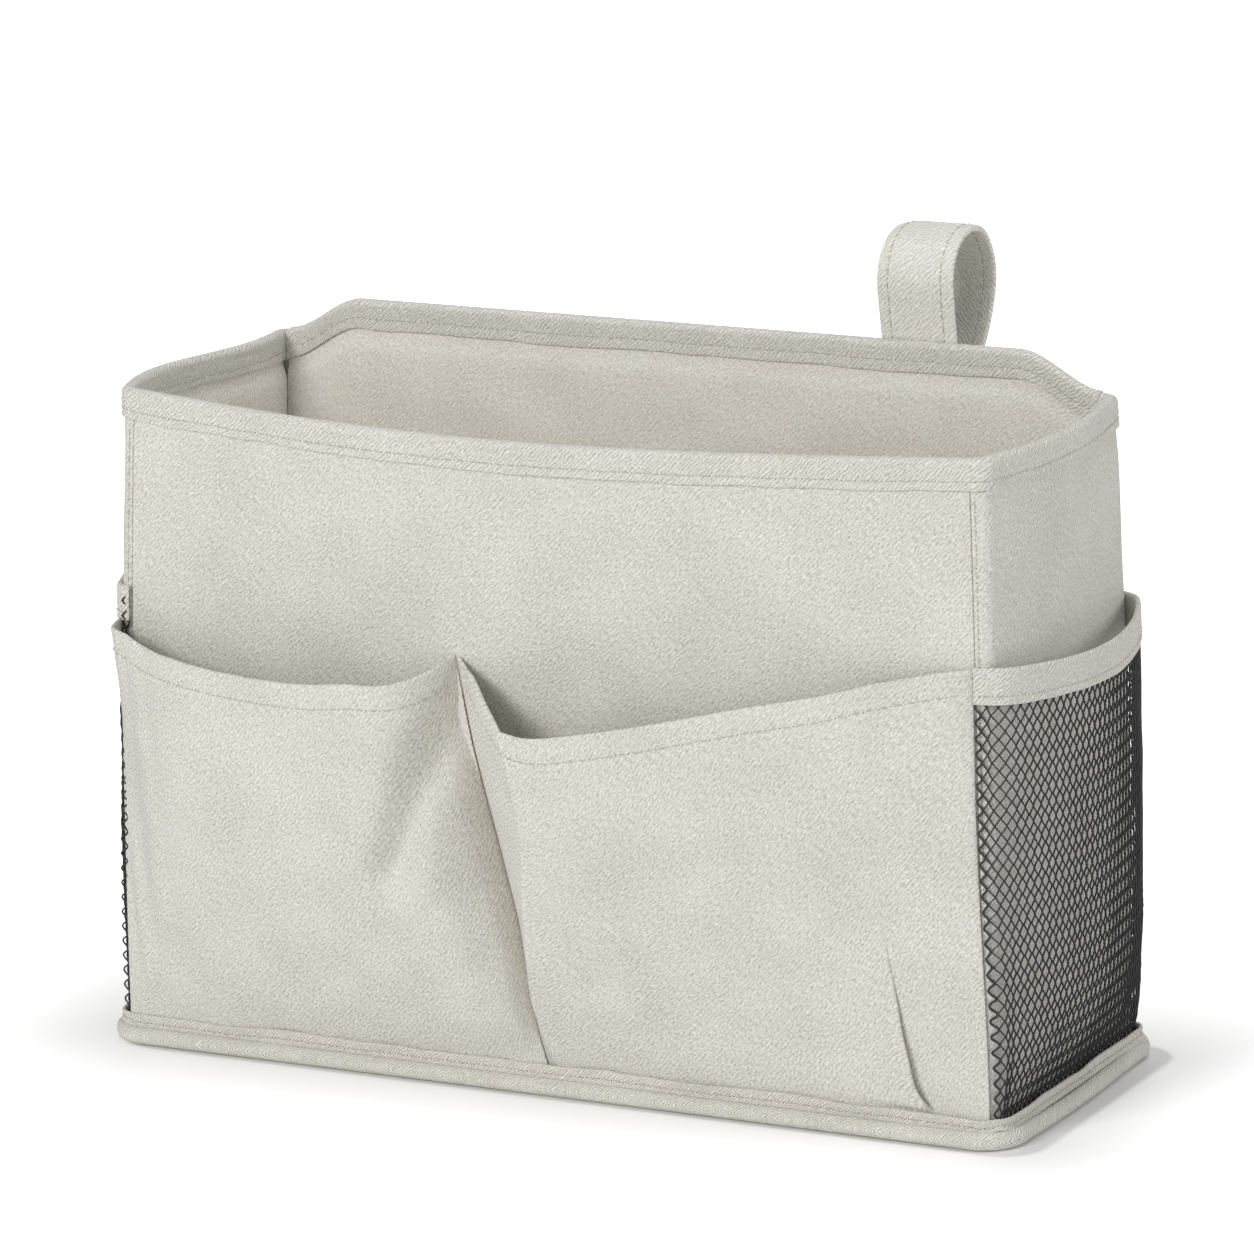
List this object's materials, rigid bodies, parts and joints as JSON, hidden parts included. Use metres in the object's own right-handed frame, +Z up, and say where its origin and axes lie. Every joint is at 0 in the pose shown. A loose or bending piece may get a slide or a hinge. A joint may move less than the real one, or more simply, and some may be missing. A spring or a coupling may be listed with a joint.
{
  "type": "armrest organizer",
  "caption": "Upright canvas organizer box with front pockets, net side pockets, a bound rim and foot, and a strap loop at the back.",
  "frame": {"origin": "middle of the underside, on the surface that the organizer stands on", "axes": "+X along the length to the right, -Y towards the front pockets, +Z up"},
  "size_m": [0.2783, 0.1476, 0.2157],
  "materials": {
    "canvas": "fine twill canvas, matte",
    "lining": "plain woven lining, matte",
    "board": "stiffening board, hidden",
    "net": "knotless black net"
  },
  "bodies": {
    "box": {"under_cloth": "canvas", "base_board": "board", "floor_lining": "lining", "base_binding": "canvas", "front_cloth": "canvas", "front_board": "board", "front_lining": "lining", "back_cloth": "canvas", "back_board": "board", "back_lining": "lining", "left_cloth": "canvas", "left_board": "board", "left_lining": "lining", "right_cloth": "canvas", "right_board": "board", "right_lining": "lining", "rim_binding": "canvas", "back_rim_binding": "canvas", "left_pocket": "canvas", "right_pocket": "canvas", "left_net": "net", "left_net_band": "canvas", "right_net": "net", "right_net_band": "canvas", "strap_tail": "canvas"},
    "strap": {"strap_loop": "canvas"}
  },
  "joints": [
    {"name": "strap_swing", "type": "hinge", "parent": "box", "child": "strap", "pos_m": [0.0663, 0.04475, 0.164], "axis": [-1, 0, 0], "range_deg": [0, 90], "stiffness_Nm_per_rad": 0.02}
  ]
}
